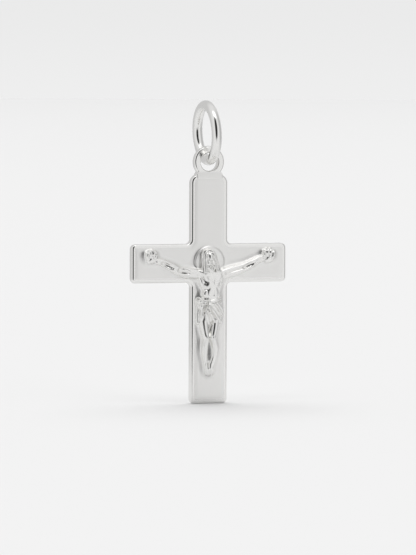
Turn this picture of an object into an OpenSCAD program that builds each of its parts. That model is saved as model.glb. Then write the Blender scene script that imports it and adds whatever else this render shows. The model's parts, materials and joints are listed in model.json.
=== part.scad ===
// Crucifix pendant: a struck cross with an eye and a figure in relief, hanging on a jump ring.
// Units are millimetres. The origin is the chain seat, at the top of the inside of the ring.
// X runs across the cross, -Y is its front, and +Z is up.

/* [Cross] */
// Height of the cross, from its shoulders to its foot
cross_height = 18.35; // [16:0.05:26]
// Width of the cross, from arm end to arm end
cross_width = 13.15; // [11:0.05:18]
// Width of the upright and of the crossbar
beam_width = 3.1; // [2.8:0.1:4]
// Distance from the shoulders down to the middle of the crossbar
bar_drop = 7.1; // [5.5:0.1:9]
// Thickness of the cross
plate_thickness = 0.75; // [0.7:0.05:1.4]
// Radius of the corners at the arm ends and the foot
corner_radius = 0.38; // [0.36:0.02:0.8]
// Radius of the two shoulders of the upright
shoulder_radius = 0.7; // [0.5:0.05:1]
// Radius of the four inner corners at the crossing
inner_radius = 0.36; // [0.2:0.02:0.5]
// Radius of the rounded edges, front and back
edge_radius = 0.16; // [0.1:0.01:0.24]

/* [Eye] */
// Outer diameter of the eye
eye_diameter = 2.55; // [2.4:0.05:2.8]
// Diameter of the hole in the eye
eye_hole = 1.45; // [1.3:0.05:1.6]
// Height of the hole's centre above the shoulders
eye_rise = 1; // [0.9:0.05:1.3]
// Thickness of the eye
eye_thickness = 0.6; // [0.55:0.05:0.85]
// Width of the neck between the eye and the shoulders
neck_width = 1.85; // [1.8:0.05:2.2]
// Width of the bevel round each mouth of the hole
hole_bevel = 0.12; // [0.05:0.01:0.15]

/* [Jump ring] */
// Outer diameter of the jump ring
ring_diameter = 5.2; // [4.6:0.1:7]
// Diameter of the ring's wire
wire_diameter = 0.8; // [0.6:0.05:0.9]
// Angle that the top of the ring leans towards -X
ring_lean = 3; // [0:0.5:8]
// Gap between the wire and the top of the hole
hang_gap = 0.2; // [0.1:0.01:0.25]

/* [Figure] */
// Height of the crown of the head above the middle of the crossbar
crown_rise = 1.13; // [0.9:0.01:1.3]
// Distance from the fingertips to the arm ends
hand_margin = 0.88; // [0.5:0.01:1.5]
// Distance from the toes to the foot of the cross
foot_margin = 2.2; // [1.5:0.05:4]
// Distance from the middle of the cross to the middle of the figure, towards -X
figure_shift = 0.05; // [0:0.01:0.3]
// Width across the shoulders
chest_width = 1.86; // [1.6:0.02:2.2]
// Height of the figure above the face of the cross
relief = 0.9; // [0.6:0.05:1.2]
// Angle that the head leans towards the -X shoulder
head_lean = 6; // [0:1:15]
// Diameter of the nimbus behind the head
nimbus_diameter = 2.65; // [2.2:0.05:2.9]
// Height of the nimbus above the face of the cross
nimbus_height = 0.15; // [0.08:0.01:0.25]

/* [Hidden] */

// Sides of circles, and steps round a corner and over a rounded edge
$fn = 32;
CORNER_STEPS = 5;
EDGE_STEPS = 4;
// Facets from one flank of a limb, or of the trunk, over its front to the other flank
LIMB_SIDES = 8;
BODY_SIDES = 12;
// Steps between two rows of a table
STEPS = 2;
// How far a form sinks into what carries it, and the neck's faces lie below the eye's
SINK = 0.25;
NECK_SET = 0.03;
// How far a cutter runs past what it cuts
CUT = 1;

// The wire's centre at the bottom of the ring is the point that the cross hangs and swings on
wire_radius = wire_diameter / 2;
ring_radius = ring_diameter / 2 - wire_radius;
seat_to_hinge = 2 * ring_radius - wire_radius;
hinge = [seat_to_hinge * sin(ring_lean), 0, -seat_to_hinge * cos(ring_lean)];

// Heights in the cross, from the top down, measured from the middle of the crossbar
foot_z = bar_drop - cross_height;
shoulder_z = bar_drop;
hole_z = shoulder_z + eye_rise;
crossing = hinge + [0, 0, wire_radius + hang_gap - eye_hole / 2 - hole_z];

// The figure hangs from its crown down to its toes, and reaches from fingertip to fingertip
face_y = -plate_thickness / 2;
figure_height = crown_rise - foot_z - foot_margin;
hand_reach = cross_width / 2 - hand_margin;

// Neck of the eye: height of each section above the shoulders as a share of eye_rise, and its
// width as a share of neck_width
RISE = 0;
WIDTH = 1;
NECK = [
    [-0.40, 1.16],
    [-0.06, 1.06],
    [ 0.12, 1.00],
    [ 0.40, 0.93],
];

// Trunk: drop of each section below the crown as a share of figure_height, its shift and
// half width as shares of chest_width, and its front as a share of relief
DROP = 0;
SHIFT = 1;
HALF = 2;
FRONT = 3;
TRUNK = [
    [0.150,  0.00, 0.14, 0.52],
    [0.172,  0.00, 0.24, 0.62],
    [0.190,  0.01, 0.40, 0.70],
    [0.215,  0.02, 0.48, 0.82],
    [0.250,  0.03, 0.49, 0.90],
    [0.285,  0.06, 0.45, 0.84],
    [0.325,  0.08, 0.41, 0.78],
    [0.365,  0.08, 0.35, 0.80],
    [0.400,  0.05, 0.40, 0.78],
    [0.440,  0.02, 0.42, 0.60],
];

// Loincloth, in the same columns
CLOTH = [
    [0.378,  0.04, 0.38, 0.62],
    [0.395,  0.02, 0.50, 0.88],
    [0.430,  0.01, 0.56, 0.96],
    [0.475,  0.02, 0.57, 0.94],
    [0.520,  0.03, 0.57, 0.92],
    [0.560,  0.03, 0.56, 0.86],
    [0.590,  0.01, 0.48, 0.66],
];

// The +X leg, in the same columns, and the sway of both legs: how far the middle between them
// lies from the figure's middle, as a share of chest_width. The -X leg is its mirror image
SWAY = 4;
LEG = [
    [0.520, 0.290, 0.19,  0.72, -0.060],
    [0.580, 0.290, 0.17,  0.78, -0.095],
    [0.640, 0.220, 0.15,  0.84, -0.110],
    [0.690, 0.150, 0.14,  0.90, -0.115],
    [0.730, 0.180, 0.13,  0.76, -0.090],
    [0.780, 0.225, 0.14,  0.68, -0.065],
    [0.840, 0.200, 0.12,  0.60, -0.065],
    [0.900, 0.150, 0.09,  0.52, -0.068],
    [0.935, 0.120, 0.08,  0.54, -0.070],
];

// The upper foot, and the lower one under it, in the same columns
UPPER_FOOT = [
    [0.900,  0.070, 0.09, 0.58],
    [0.930,  0.040, 0.12, 0.70],
    [0.960,  0.010, 0.14, 0.68],
    [0.985, -0.005, 0.14, 0.56],
    [0.998, -0.010, 0.10, 0.42],
];
LOWER_FOOT = [
    [0.900, -0.210, 0.08, 0.48],
    [0.940, -0.180, 0.11, 0.52],
    [0.975, -0.140, 0.13, 0.46],
    [1.000, -0.110, 0.11, 0.34],
];

// Arm: reach of each section as a share of hand_reach, lift as a share of the way from the
// shoulder up to the hand, half height as a share of chest_width, front as a share of relief
REACH = 0;
LIFT = 1;
ARM = [
    [0.06, 0.02, 0.160, 0.62],
    [0.16, 0.07, 0.185, 0.74],
    [0.26, 0.10, 0.165, 0.68],
    [0.36, 0.12, 0.165, 0.60],
    [0.46, 0.18, 0.175, 0.58],
    [0.56, 0.29, 0.180, 0.58],
    [0.66, 0.48, 0.170, 0.58],
    [0.76, 0.70, 0.145, 0.52],
    [0.83, 0.84, 0.120, 0.46],
    [0.88, 0.93, 0.160, 0.48],
    [0.93, 1.02, 0.230, 0.52],
    [0.97, 1.09, 0.190, 0.46],
    [1.00, 1.14, 0.090, 0.32],
];
// The shoulders' drop below the crown as a share of figure_height, and the palms' height above
// the middle of the bar as a share of beam_width
SHOULDER_SHARE = 0.196;
PALM_SHARE = 0.19;

// The head's height as a share of figure_height, and its half width as a share of chest_width
TALL_SHARE = 0.166;
BROAD_SHARE = 0.3;
// Face, nose and one lock of hair: drop as a share of the head's height, shift and half width as
// shares of its half width, and front as a share of relief
FACE = [
    [0.00, 0, 0.30, 0.66],
    [0.06, 0, 0.62, 0.82],
    [0.20, 0, 0.86, 0.94],
    [0.40, 0, 0.92, 0.97],
    [0.60, 0, 0.88, 0.96],
    [0.80, 0, 0.76, 0.94],
    [1.00, 0, 0.56, 0.92],
    [1.14, 0, 0.36, 0.84],
    [1.22, 0, 0.14, 0.74],
];
NOSE = [
    [0.44, 0, 0.10, 0.95],
    [0.52, 0, 0.13, 1.00],
    [0.64, 0, 0.20, 1.05],
    [0.70, 0, 0.12, 0.94],
];
HAIR_LOCK = [
    [0.02, 0.42, 0.34, 0.70],
    [0.18, 0.80, 0.34, 0.82],
    [0.42, 1.00, 0.30, 0.80],
    [0.70, 1.04, 0.30, 0.74],
    [0.95, 1.08, 0.30, 0.66],
    [1.16, 1.14, 0.24, 0.56],
    [1.28, 1.16, 0.12, 0.44],
];

// A value between rows b and c of a table, on the smooth curve that also heeds rows a and d
function curve_between(a, b, c, d, t) =
    0.5 * (2 * b + (c - a) * t + (2 * a - 5 * b + 4 * c - d) * t * t
           + (3 * b - a - 3 * c + d) * t * t * t);

// A table with STEPS - 1 more rows between each two of its own
function smooth_table(rows) = [
    for (i = [0 : len(rows) - 2])
        for (s = [0 : STEPS - 1])
            curve_between(rows[max(i - 1, 0)], rows[i], rows[i + 1],
                          rows[min(i + 2, len(rows) - 1)], s / STEPS),
    rows[len(rows) - 1]
];

// A closed skin over a stack of rings that have equal numbers of points. Each ring turns
// right-handed about the way that the stack runs. The ends are fans about two given points
module skin(rings, ends) {
    sides = len(rings[0]);
    last = len(rings) - 1;
    first_end = len(rings) * sides;
    walls = [
        for (k = [0 : last - 1])
            for (i = [0 : sides - 1])
                let (j = (i + 1) % sides, a = k * sides, b = a + sides)
                    each [[a + i, b + j, a + j], [a + i, b + i, b + j]]
    ];
    caps = [
        for (i = [0 : sides - 1])
            let (j = (i + 1) % sides, b = last * sides)
                each [[i, j, first_end], [b + j, b + i, first_end + 1]]
    ];
    polyhedron(points = concat([for (ring = rings) each ring], ends), faces = concat(walls, caps));
}

// The same, with each end fanned about the middle of its ring
module form(rings) {
    skin(rings, [middle_of(rings[0]), middle_of(rings[len(rings) - 1])]);
}

function middle_of(ring) = [for (i = [0 : len(ring) - 1]) 1] * ring / len(ring);

// One ring round a form: half an oval in front of the face, and two corners sunk behind it.
// The ring lies across the direction given by along, which points to its first flank
function ring_at(at, along, front, sides) = [
    for (i = [0 : sides])
        let (a = 180 * i / sides, p = at + along * cos(a))
            [p.x, -front * sin(a), p.y],
    for (side = [-1, 1])
        let (p = at + along * side)
            [p.x, SINK, p.y]
];

// Rings of an upright form
function upright_rings(table, height, width, sides) = [
    for (row = smooth_table(table))
        ring_at([row[SHIFT] * width, -row[DROP] * height], [row[HALF] * width, 0],
                row[FRONT] * relief, sides)
];

// Rings of the leg on one side, 1 for +X and -1 for -X
function leg_rings(side) = [
    for (row = smooth_table(LEG))
        ring_at([(side * row[SHIFT] + row[SWAY]) * chest_width, -row[DROP] * figure_height],
                [row[HALF] * chest_width, 0], row[FRONT] * relief, LIMB_SIDES)
];

// Rings of an arm, each square to the arm's own line
function arm_rings(side) =
    let (rows = smooth_table(ARM),
         top = -SHOULDER_SHARE * figure_height,
         rise = PALM_SHARE * beam_width - crown_rise - top,
         line = [for (row = rows) [side * row[REACH] * hand_reach, top + row[LIFT] * rise]])
    [
        for (k = [0 : len(rows) - 1])
            let (ahead = line[min(k + 1, len(rows) - 1)] - line[max(k - 1, 0)],
                 along = [-ahead.y, ahead.x] / norm(ahead) * rows[k][HALF] * chest_width)
                ring_at(line[k], along, rows[k][FRONT] * relief, LIMB_SIDES)
    ];

// Corners of the cross, counterclockwise from the front, starting at the +X arm's upper one:
// the centre of the corner's arc, its radius, and the angles where the arc starts and ends
CENTRE = 0;
RADIUS = 1;
START = 2;
END = 3;
arm = cross_width / 2;
half = beam_width / 2;
outer = corner_radius;
inner = inner_radius;
top = shoulder_radius;
CORNERS = [
    [[arm - outer, half - outer], outer, 0, 90],
    [[half + inner, half + inner], inner, 270, 180],
    [[half - top, shoulder_z - top], top, 0, 90],
    [[top - half, shoulder_z - top], top, 90, 180],
    [[-half - inner, half + inner], inner, 360, 270],
    [[outer - arm, half - outer], outer, 90, 180],
    [[outer - arm, outer - half], outer, 180, 270],
    [[-half - inner, -half - inner], inner, 90, 0],
    [[outer - half, foot_z + outer], outer, 180, 270],
    [[half - outer, foot_z + outer], outer, 270, 360],
    [[half + inner, -half - inner], inner, 180, 90],
    [[arm - outer, outer - half], outer, 270, 360],
];

// The outline of the cross at depth y, drawn in from the full one by inset: that shrinks the
// convex arcs and widens the concave ones
function outline(y, inset) = [
    for (corner = CORNERS)
        let (convex = corner[END] > corner[START],
             radius = corner[RADIUS] + (convex ? -inset : inset))
            for (step = [0 : CORNER_STEPS])
                let (a = corner[START] + (corner[END] - corner[START]) * step / CORNER_STEPS)
                    [corner[CENTRE].x + radius * cos(a), y, corner[CENTRE].y + radius * sin(a)]
];

// The cross itself, skinned from its back to its front with rounded edges on both
module plate() {
    flank = plate_thickness / 2 - edge_radius;
    back = [
        for (step = [EDGE_STEPS : -1 : 0])
            let (a = 90 * step / EDGE_STEPS)
                outline(flank + edge_radius * sin(a), edge_radius * (1 - cos(a)))
    ];
    front = [
        for (step = [0 : EDGE_STEPS])
            let (a = 90 * step / EDGE_STEPS)
                outline(-flank - edge_radius * sin(a), edge_radius * (1 - cos(a)))
    ];
    skin(concat(back, front), [[0, plate_thickness / 2, 0], [0, -plate_thickness / 2, 0]]);
}

// The eye: a flat disc with a rounded rim, before its hole is cut
module eye_disc() {
    radius = eye_diameter / 2;
    translate([0, 0, hole_z])
        rotate([90, 0, 0])
            rotate_extrude() {
                translate([0, -eye_thickness / 2]) square([radius - edge_radius, eye_thickness]);
                translate([0, edge_radius - eye_thickness / 2])
                    square([radius, eye_thickness - 2 * edge_radius]);
                for (side = [-1, 1])
                    translate([radius - edge_radius, side * (eye_thickness / 2 - edge_radius)])
                        circle(edge_radius);
            }
}

// The neck under the eye, a bar with rounded edges that flares into the shoulders
module eye_neck() {
    flank = eye_thickness / 2 - edge_radius;
    round = edge_radius - NECK_SET;
    rings = [
        for (row = NECK)
            let (x = row[WIDTH] * neck_width / 2 - edge_radius,
                 z = shoulder_z + row[RISE] * eye_rise,
                 centres = [[x, flank], [-x, flank], [-x, -flank], [x, -flank]])
                [for (quarter = [0 : 3])
                    for (step = [0 : EDGE_STEPS])
                        let (a = 90 * (quarter + step / EDGE_STEPS))
                            [centres[quarter].x + round * cos(a),
                             centres[quarter].y + round * sin(a), z]]
    ];
    form(rings);
}

// The hole through the eye, with a bevel at each mouth
module hole() {
    translate([0, 0, hole_z]) {
        rotate([90, 0, 0]) cylinder(d = eye_hole, h = eye_thickness + 2 * CUT, center = true);
        for (turn = [90, -90])
            rotate([turn, 0, 0])
                translate([0, 0, eye_thickness / 2 - hole_bevel])
                    cylinder(r1 = eye_hole / 2, r2 = eye_hole / 2 + CUT, h = CUT);
    }
}

// A low round plate behind the head
module nimbus() {
    translate([-figure_shift, face_y, 0])
        rotate([90, 0, 0])
            translate([0, 0, -SINK])
                cylinder(r1 = nimbus_diameter / 2, r2 = nimbus_diameter / 2 - nimbus_height,
                         h = SINK + nimbus_height);
}

module head() {
    height = TALL_SHARE * figure_height;
    broad = BROAD_SHARE * chest_width;
    pivot = [0, 0, -SHOULDER_SHARE * figure_height];
    translate(pivot) rotate([0, -head_lean, 0]) translate(-pivot) {
        form(upright_rings(FACE, height, broad, BODY_SIDES));
        form(upright_rings(NOSE, height, broad, LIMB_SIDES));
        for (side = [0, 1])
            mirror([side, 0, 0]) form(upright_rings(HAIR_LOCK, height, broad, LIMB_SIDES));
    }
}

module legs() {
    for (side = [-1, 1])
        form(leg_rings(side));
    for (table = [UPPER_FOOT, LOWER_FOOT])
        form(upright_rings(table, figure_height, chest_width, LIMB_SIDES));
}

// The figure, hung from its crown in front of the cross
module figure() {
    translate([-figure_shift, face_y, crown_rise]) {
        head();
        form(upright_rings(TRUNK, figure_height, chest_width, BODY_SIDES));
        form(upright_rings(CLOTH, figure_height, chest_width, BODY_SIDES));
        legs();
        for (side = [-1, 1])
            form(arm_rings(side));
    }
}

module crucifix() {
    color("silver") translate(crossing) difference() {
        union() {
            plate();
            eye_disc();
            eye_neck();
            nimbus();
            figure();
        }
        hole();
    }
}

// A ring of round wire that stands edge-on to the cross
module jump_ring() {
    color("silver")
        translate(hinge)
            rotate([0, -ring_lean, 0])
                translate([0, 0, ring_radius])
                    rotate([0, 90, 0])
                        rotate_extrude() translate([ring_radius, 0]) circle(d = wire_diameter);
}

crucifix();
jump_ring();
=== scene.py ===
"""A small struck silver crucifix on a jump ring, built from numpy surfaces round a fixed frame.

Lengths in the properties are metres. The tables of forms are millimetres, measured from the
middle of the crossbar: u to the viewer's right, w up, and h out of the face of the cross.
"""
import json
import math

import bpy
import numpy as np
from bpy.props import FloatProperty, FloatVectorProperty, IntProperty, PointerProperty
from mathutils import Matrix, Vector


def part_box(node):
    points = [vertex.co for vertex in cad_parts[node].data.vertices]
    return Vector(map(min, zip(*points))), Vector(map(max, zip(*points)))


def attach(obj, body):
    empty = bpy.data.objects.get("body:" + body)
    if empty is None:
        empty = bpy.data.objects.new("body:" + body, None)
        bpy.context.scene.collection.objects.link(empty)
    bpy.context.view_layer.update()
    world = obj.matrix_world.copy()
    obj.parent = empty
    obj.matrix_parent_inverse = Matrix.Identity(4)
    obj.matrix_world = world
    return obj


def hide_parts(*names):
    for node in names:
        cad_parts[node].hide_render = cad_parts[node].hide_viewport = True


bl_info = {
    "name": "Crucifix Pendant",
    "version": (1, 0, 0),
    "blender": (4, 5, 0),
    "location": "View3D > Sidebar > Pendant",
    "description": "Builds a struck silver crucifix pendant with its jump ring and a studio",
    "category": "Add Mesh",
}

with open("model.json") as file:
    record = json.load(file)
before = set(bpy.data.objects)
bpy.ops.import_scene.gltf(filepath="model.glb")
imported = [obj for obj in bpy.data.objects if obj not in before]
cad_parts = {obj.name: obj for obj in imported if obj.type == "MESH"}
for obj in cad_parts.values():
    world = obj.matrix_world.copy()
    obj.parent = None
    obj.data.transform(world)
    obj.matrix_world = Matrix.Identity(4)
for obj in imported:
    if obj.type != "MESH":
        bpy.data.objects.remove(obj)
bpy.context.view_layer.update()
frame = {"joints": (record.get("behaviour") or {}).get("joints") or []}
MM = 0.001
CROSS_LOW, CROSS_HIGH = (np.array(corner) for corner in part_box("crucifix"))
RING_LOW, RING_HIGH = (np.array(corner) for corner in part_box("jump_ring"))
HINGE = np.array(frame["joints"][0]["pos_m"])


class CrossSizes(bpy.types.PropertyGroup):
    """Sizes of the cross and of its eye."""
    width: FloatProperty(
        name="Width", description="From arm end to arm end", unit="LENGTH",
        default=CROSS_HIGH[0] - CROSS_LOW[0])
    height: FloatProperty(
        name="Height", description="From the shoulders to the foot", unit="LENGTH",
        default=18.35 * MM)
    beam: FloatProperty(
        name="Beam", description="Width of the upright and of the crossbar", unit="LENGTH",
        default=3.1 * MM)
    bar_drop: FloatProperty(
        name="Bar drop", description="From the shoulders down to the middle of the crossbar",
        unit="LENGTH", default=7.1 * MM)
    thickness: FloatProperty(
        name="Thickness", description="Thickness of the cross", unit="LENGTH",
        default=0.75 * MM)
    corner: FloatProperty(
        name="Corner", description="Radius of the corners at the arm ends and the foot",
        unit="LENGTH", default=0.38 * MM)
    shoulder: FloatProperty(
        name="Shoulder", description="Radius of the shoulders of the upright", unit="LENGTH",
        default=0.7 * MM)
    inner: FloatProperty(
        name="Inner corner", description="Radius of the four inner corners", unit="LENGTH",
        default=0.36 * MM)
    edge: FloatProperty(
        name="Edge", description="Radius of the rounded edges", unit="LENGTH",
        default=0.16 * MM)
    edge_reach: FloatProperty(
        name="Edge reach", description="How far the rounded edges reach in over the faces",
        unit="LENGTH", default=0.2 * MM)
    crown: FloatProperty(
        name="Crown", description="How far the faces fall away towards the edges",
        unit="LENGTH", default=0.035 * MM)
    crown_reach: FloatProperty(
        name="Crown reach", description="How far in from the edge the faces fall away",
        unit="LENGTH", default=0.45 * MM)
    eye_outer: FloatProperty(
        name="Eye outside", description="Outer diameter of the eye", unit="LENGTH",
        default=2.55 * MM)
    eye_hole: FloatProperty(
        name="Eye hole", description="Diameter of the hole in the eye", unit="LENGTH",
        default=1.45 * MM)
    eye_rise: FloatProperty(
        name="Eye rise", description="Height of the hole's centre above the shoulders",
        unit="LENGTH", default=1.0 * MM)
    eye_thickness: FloatProperty(
        name="Eye thickness", description="Thickness of the eye", unit="LENGTH",
        default=0.6 * MM)
    neck: FloatProperty(
        name="Neck", description="Width of the neck between the eye and the shoulders",
        unit="LENGTH", default=1.85 * MM)


class FigureSizes(bpy.types.PropertyGroup):
    """Sizes of the relief."""
    pitch: FloatProperty(
        name="Grid pitch", description="Distance between the relief's grid lines",
        unit="LENGTH", default=0.025 * MM)
    arm_pitch: FloatProperty(
        name="Arm pitch", description="Distance between the grid lines across the arms",
        unit="LENGTH", default=0.034 * MM)
    head_pitch: FloatProperty(
        name="Head pitch", description="Distance between the head's grid lines",
        unit="LENGTH", default=0.013 * MM)
    nimbus: FloatProperty(
        name="Nimbus", description="Diameter of the nimbus", unit="LENGTH", default=2.65 * MM)
    nimbus_height: FloatProperty(
        name="Nimbus height", description="Height of the nimbus above the field",
        unit="LENGTH", default=0.1 * MM)


class RingSizes(bpy.types.PropertyGroup):
    """Sizes of the jump ring."""
    outer: FloatProperty(
        name="Outside", description="Outer diameter of the ring", unit="LENGTH",
        default=RING_HIGH[1] - RING_LOW[1])
    wire: FloatProperty(
        name="Wire", description="Diameter of the ring's wire", unit="LENGTH",
        default=0.8 * MM)
    sides: IntProperty(name="Sides", description="Facets round the wire", default=64)
    steps: IntProperty(name="Steps", description="Facets along the wire", default=288)
    lean: FloatProperty(
        name="Lean", description="How far the ring leans to the viewer's left",
        subtype="ANGLE", unit="ROTATION", default=math.radians(3.0))


class FinishLook(bpy.types.PropertyGroup):
    """Colour and polish of the silver."""
    silver: FloatVectorProperty(
        name="Silver", description="Colour of polished silver", subtype="COLOR", size=3,
        default=(0.93, 0.925, 0.91))
    satin: FloatProperty(
        name="Satin", description="Roughness of the field", subtype="FACTOR", default=0.34)
    polish: FloatProperty(
        name="Polish", description="Roughness of the polished edges", subtype="FACTOR",
        default=0.09)
    ring_polish: FloatProperty(
        name="Ring polish", description="Roughness of the jump ring", subtype="FACTOR",
        default=0.05)


class StudioLook(bpy.types.PropertyGroup):
    """Light, floor and camera."""
    azimuth: FloatProperty(
        name="Azimuth", description="Camera's turn round the pendant", subtype="ANGLE",
        unit="ROTATION", default=math.radians(-20.5))
    elevation: FloatProperty(
        name="Elevation", description="Camera's angle above the pendant", subtype="ANGLE",
        unit="ROTATION", default=math.radians(2.8))
    roll: FloatProperty(
        name="Roll", description="Camera's roll", subtype="ANGLE", unit="ROTATION",
        default=math.radians(0.2))
    distance: FloatProperty(
        name="Distance", description="Camera's distance", unit="LENGTH", default=350 * MM)
    field: FloatProperty(
        name="Field", description="Height of the picture at the pendant", unit="LENGTH",
        default=44.4 * MM)
    aim_right: FloatProperty(
        name="Aim right", description="Picture's centre, right of the crossing",
        unit="LENGTH", default=-0.13 * MM)
    aim_up: FloatProperty(
        name="Aim up", description="Picture's centre, above the crossing", unit="LENGTH",
        default=-1.14 * MM)
    tent: FloatProperty(
        name="Tent", description="Brightness of the light tent's sides", default=0.80)
    side: FloatProperty(
        name="Side light", description="Brightness of the tent's right side", default=0.84)
    top: FloatProperty(
        name="Top light", description="Brightness of the tent overhead", default=0.80)
    overhead: FloatProperty(
        name="Overhead light", description="Strength of the soft light over the floor",
        default=1.52)
    backdrop: FloatProperty(
        name="Backdrop", description="Brightness of what lies behind", default=0.858)
    floor: FloatProperty(
        name="Floor", description="How pale the floor is", subtype="FACTOR", default=0.77)
    floor_seen: FloatProperty(
        name="Floor in the silver", description="Share of the floor's light that the silver sees",
        subtype="FACTOR", default=0.91)


# A closed solid from arrays of points, quads and triangles
def add_solid(name, points, quads, triangles):
    quads = np.asarray(quads, dtype=np.int32).reshape(-1, 4)
    triangles = np.asarray(triangles, dtype=np.int32).reshape(-1, 3)
    corners = np.concatenate([quads.ravel(), triangles.ravel()])
    sizes = np.concatenate([np.full(len(quads), 4), np.full(len(triangles), 3)])
    starts = np.concatenate([[0], np.cumsum(sizes)[:-1]]).astype(np.int32)
    mesh = bpy.data.meshes.new(name)
    mesh.vertices.add(len(points))
    mesh.vertices.foreach_set("co", np.ascontiguousarray(points, dtype=np.float32).ravel())
    mesh.loops.add(len(corners))
    mesh.loops.foreach_set("vertex_index", corners)
    mesh.polygons.add(len(sizes))
    mesh.polygons.foreach_set("loop_start", starts)
    mesh.update(calc_edges=True)
    mesh.validate()
    mesh.shade_smooth()
    piece = bpy.data.objects.new(name, mesh)
    bpy.context.scene.collection.objects.link(piece)
    return piece


# Quads between neighbours on a grid of rows. Each row closes into a loop where loop_columns is
# true, and the last row meets the first where loop_rows is true
def grid_quads(rows, columns, loop_rows=False, loop_columns=True):
    index = np.arange(rows * columns).reshape(rows, columns)
    if loop_columns:
        index = np.concatenate([index, index[:, :1]], axis=1)
    if loop_rows:
        index = np.concatenate([index, index[:1]], axis=0)
    return np.stack([index[:-1, :-1], index[:-1, 1:], index[1:, 1:], index[1:, :-1]], axis=-1)


# A number from 0 to 1 that rises smoothly while x goes from low to high: 3t2 - 2t3
def ease(low, high, x):
    t = np.clip((x - low) / (high - low), 0.0, 1.0)
    return t * t * (3.0 - 2.0 * t)


# The middle of the crossbar, on the middle plane of the cross
def crossing(sizes):
    return np.array([
        (CROSS_LOW[0] + CROSS_HIGH[0]) / 2, 0.0,
        CROSS_LOW[2] + sizes.height - sizes.bar_drop])


# Points along a corner's arc and a straight side, rings over the edge, the crown and the middle
# of a face, and the least radius of a corner that is drawn in
CORNER_STEPS = 14
SIDE_STEPS = 10
EDGE_STEPS = 14
CROWN_STEPS = 12
CENTRE_STEPS = 8
LEAST_RADIUS = 0.02 * MM
# Shares of the crown between which the edge's polish comes in, from the inside outwards
CROWN_POLISH = (0.3, 0.05)


# The outline of the cross, drawn in by inset. Each corner is an arc: a convex one keeps its
# tangent lines and shrinks, a concave one keeps its centre and grows. Straight sides get
# SIDE_STEPS points each
def cross_outline(sizes, inset):
    arm = sizes.width / 2
    half = sizes.beam / 2
    top = sizes.bar_drop
    foot = sizes.bar_drop - sizes.height
    corner, shoulder, inner = sizes.corner, sizes.shoulder, sizes.inner
    corners = [
        (arm, half, corner, 0, 90), (half, half, -inner, 270, 180),
        (half, top, shoulder, 0, 90), (-half, top, shoulder, 90, 180),
        (-half, half, -inner, 360, 270), (-arm, half, corner, 90, 180),
        (-arm, -half, corner, 180, 270), (-half, -half, -inner, 90, 0),
        (-half, foot, corner, 180, 270), (half, foot, corner, 270, 360),
        (half, -half, -inner, 180, 90), (arm, -half, corner, 270, 360),
    ]
    arcs = []
    for x, z, radius, start, end in corners:
        angles = np.radians(np.linspace(start, end, CORNER_STEPS + 1))
        middle = np.radians((start + end) / 2)
        way = np.sign([np.cos(middle), np.sin(middle)])
        if radius > 0:
            now = max(radius - inset, LEAST_RADIUS)
            centre = np.array([x, z]) - way * (inset + now)
        else:
            now = inset - radius
            centre = np.array([x, z]) + way * radius
        arcs.append(centre + now * np.stack([np.cos(angles), np.sin(angles)], axis=1))
    share = np.linspace(0, 1, SIDE_STEPS + 1)[1:-1, None]
    pieces = []
    for arc, following in zip(arcs, arcs[1:] + arcs[:1]):
        pieces.append(arc)
        pieces.append(arc[-1] * (1 - share) + following[0] * share)
    return np.concatenate(pieces)


# Rings of one side of the cross, from its flank to its middle: first a quarter oval over the
# edge, then a face that falls away by crown towards the edge, then rings shrunk to the middle.
# Each ring is an outline, a height above the middle plane and a share of polish
def cross_face(sizes):
    flank = sizes.thickness / 2 - sizes.edge - sizes.crown
    rings = []
    for angle in np.linspace(0, math.pi / 2, EDGE_STEPS + 1):
        rings.append((cross_outline(sizes, sizes.edge_reach * (1 - math.cos(angle))),
                      flank + sizes.edge * math.sin(angle), 1.0))
    for share in np.linspace(0, 1, CROWN_STEPS + 1)[1:]:
        rise = sizes.crown * math.sin(share * math.pi / 2)
        rings.append((cross_outline(sizes, sizes.edge_reach + sizes.crown_reach * share),
                      flank + sizes.edge + rise, float(ease(*CROWN_POLISH, share))))
    last = rings[-1]
    for share in np.linspace(1, 0, CENTRE_STEPS + 1)[1:-1]:
        rings.append((last[0] * share, last[1], 0.0))
    return rings


# The cross: its back face, its flank and its front face as one stack of rings
def cross_surface(sizes):
    face = cross_face(sizes)
    count = len(face[0][0])
    back = [np.insert(outline, 1, height, axis=1) for outline, height, _ in face[::-1]]
    front = [np.insert(outline, 1, -height, axis=1) for outline, height, _ in face]
    polish = [share for _, _, share in face[::-1] + face]
    rings = np.concatenate([back, front])
    tips = np.array([[0, sizes.thickness / 2, 0], [0, -sizes.thickness / 2, 0]])
    points = np.concatenate([rings.reshape(-1, 3), tips])
    quads = grid_quads(len(rings), count)
    first = np.arange(count)
    after = np.roll(first, -1)
    start = (len(rings) - 1) * count
    tip = len(points) - 2
    fans = np.concatenate([
        np.stack([after, first, np.full(count, tip)], axis=1),
        np.stack([start + first, start + after, np.full(count, tip + 1)], axis=1)])
    return points + crossing(sizes), quads, fans, np.append(np.repeat(polish, count), [0, 0])


# A form's steepest side, as rise over run, and how far below the face its side is followed. The
# ground of a relief lies FACE_GAP under the face, its flat underside at ROOT, and a place with
# no form at NOWHERE. A groove is cut as far out as GROOVE_REACH times its half width
SLOPE = 5.0
DEEPEST = 0.2
FACE_GAP = 0.006
ROOT = -0.25
NOWHERE = -2.0
GROOVE_REACH = 3
TINY = 1e-9


# The higher of two heights, with the corner between them filled: where they differ by less
# than soft, a quarter of the overlap squared over soft is added
def merge(one, other, soft):
    overlap = np.maximum(soft - np.abs(one - other), 0.0)
    return np.maximum(one, other) + overlap * overlap / (4 * soft)


# Height of a round section over a share of its half width: a unit circle down to where its
# side is as steep as slope, and then a straight side
def section(share, slope):
    turn = slope / np.hypot(1.0, slope)
    near = np.minimum(share, turn)
    return np.sqrt(1.0 - near ** 2) - slope * np.maximum(share - turn, 0.0)


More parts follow.
